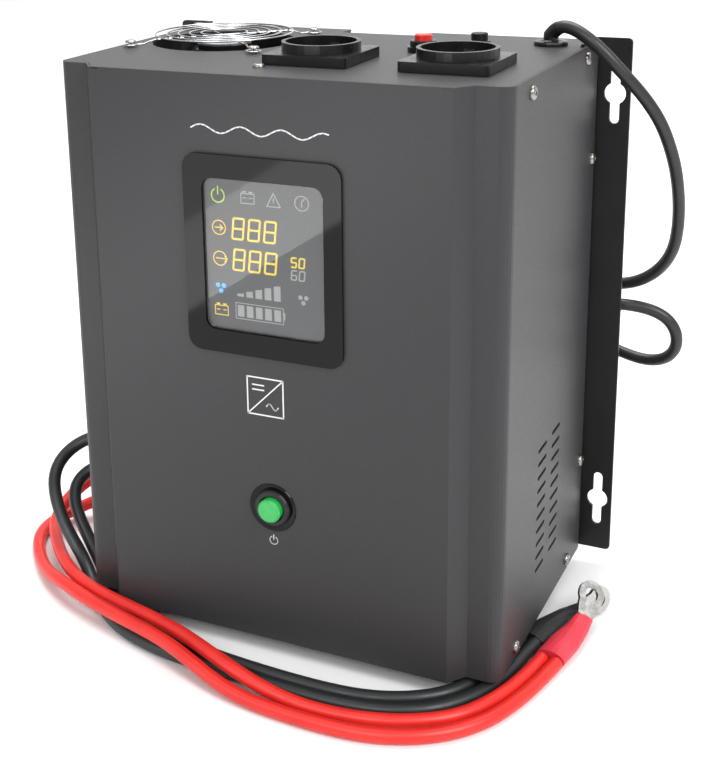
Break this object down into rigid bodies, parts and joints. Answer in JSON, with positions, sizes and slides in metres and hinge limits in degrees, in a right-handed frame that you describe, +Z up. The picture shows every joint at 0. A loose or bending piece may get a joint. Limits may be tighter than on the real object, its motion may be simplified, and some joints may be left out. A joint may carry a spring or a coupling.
{
  "type": "power inverter",
  "caption": "Wall-mounted power inverter in a grey steel case with fan, sockets, display, power button, mains lead and battery cables",
  "frame": {"origin": "on the floor under the middle of the case", "axes": "+X right seen from the front, -Y front, +Z up"},
  "size_m": [0.4004, 0.3515, 0.3566],
  "materials": {
    "case_paint": "satin grey powder coat",
    "black_steel": "black coated steel",
    "nickel": "nickel plated",
    "rubber": "matte black rubber",
    "black_plastic": "black moulded plastic",
    "chrome": "bright plated wire",
    "red_plastic": "glossy red plastic",
    "clear_lens": "clear acrylic",
    "lcd_glass": "dark display glass",
    "circuit_board": "green solder mask",
    "green_plastic": "glossy green plastic",
    "lamination": "stacked steel laminations",
    "winding_tape": "yellow insulating tape",
    "aluminium": "extruded",
    "capacitor_sleeve": "dark blue shrink sleeve",
    "black_cable": "soft black insulation",
    "red_cable": "soft red insulation",
    "red_sleeve": "red heat-shrink",
    "black_sleeve": "black heat-shrink",
    "tinned_copper": "tinned copper",
    "cord_pvc": "black PVC"
  },
  "bodies": {
    "case": {"battery_grommet_negative": "rubber", "battery_grommet_positive": "rubber", "battery_terminal_block": "black_plastic", "bracket_screw_lower_left": "nickel", "bracket_screw_lower_right": "nickel", "bracket_screw_upper_left": "nickel", "bracket_screw_upper_right": "nickel", "breaker_body": "black_plastic", "button_bezel": "black_plastic", "capacitor_1": "capacitor_sleeve", "capacitor_2": "capacitor_sleeve", "chassis": "case_paint", "display_bezel": "black_plastic", "display_board": "circuit_board", "display_lens": "clear_lens", "earth_clip_left": "nickel", "earth_clip_right": "nickel", "fan_frame": "black_plastic", "fan_guard": "chrome", "fan_screw_1": "nickel", "fan_screw_2": "nickel", "fan_screw_3": "nickel", "fan_screw_4": "nickel", "foot_front_left": "rubber", "foot_front_right": "rubber", "foot_rear_left": "rubber", "foot_rear_right": "rubber", "front_cover": "case_paint", "fuse_holder": "black_plastic", "heatsink_left": "aluminium", "heatsink_right": "aluminium", "lcd_module": "lcd_glass", "main_board": "circuit_board", "mains_coil": "cord_pvc", "mains_cord": "cord_pvc", "mains_cord_tail": "cord_pvc", "mains_gland": "black_plastic", "mains_plug": "black_plastic", "mains_strain_relief": "black_plastic", "mounting_bracket_left": "black_steel", "mounting_bracket_right": "black_steel", "negative_cable_1": "black_cable", "negative_cable_2": "black_cable", "negative_lug": "tinned_copper", "negative_sleeve": "black_sleeve", "positive_cable_1": "red_cable", "positive_cable_2": "red_cable", "positive_lug": "tinned_copper", "positive_sleeve": "red_sleeve", "socket_left": "black_plastic", "socket_right": "black_plastic", "switch_nut": "nickel", "transformer_core": "lamination", "transformer_winding": "winding_tape"},
    "fan_rotor": {"fan_rotor": "black_plastic"},
    "power_button": {"power_button": "green_plastic"},
    "breaker_button": {"breaker_button": "red_plastic"},
    "fuse_cap": {"fuse_cap": "black_plastic"}
  },
  "joints": [
    {"name": "fan_spin", "type": "hinge", "parent": "case", "child": "fan_rotor", "pos_m": [-0.081, 0.023, 0.326], "axis": [0, 0, 1], "continuous": true},
    {"name": "power_button_push", "type": "slide", "parent": "case", "child": "power_button", "axis": [0, 1, 0], "range_m": [0, 0.003], "stiffness_N_per_m": 400},
    {"name": "breaker_button_pop", "type": "slide", "parent": "case", "child": "breaker_button", "axis": [0, 0, 1], "range_m": [0, 0.004]},
    {"name": "fuse_cap_turn", "type": "hinge", "parent": "case", "child": "fuse_cap", "pos_m": [0.07, 0.058, 0.343], "axis": [0, 0, 1], "range_deg": [0, 90]}
  ]
}
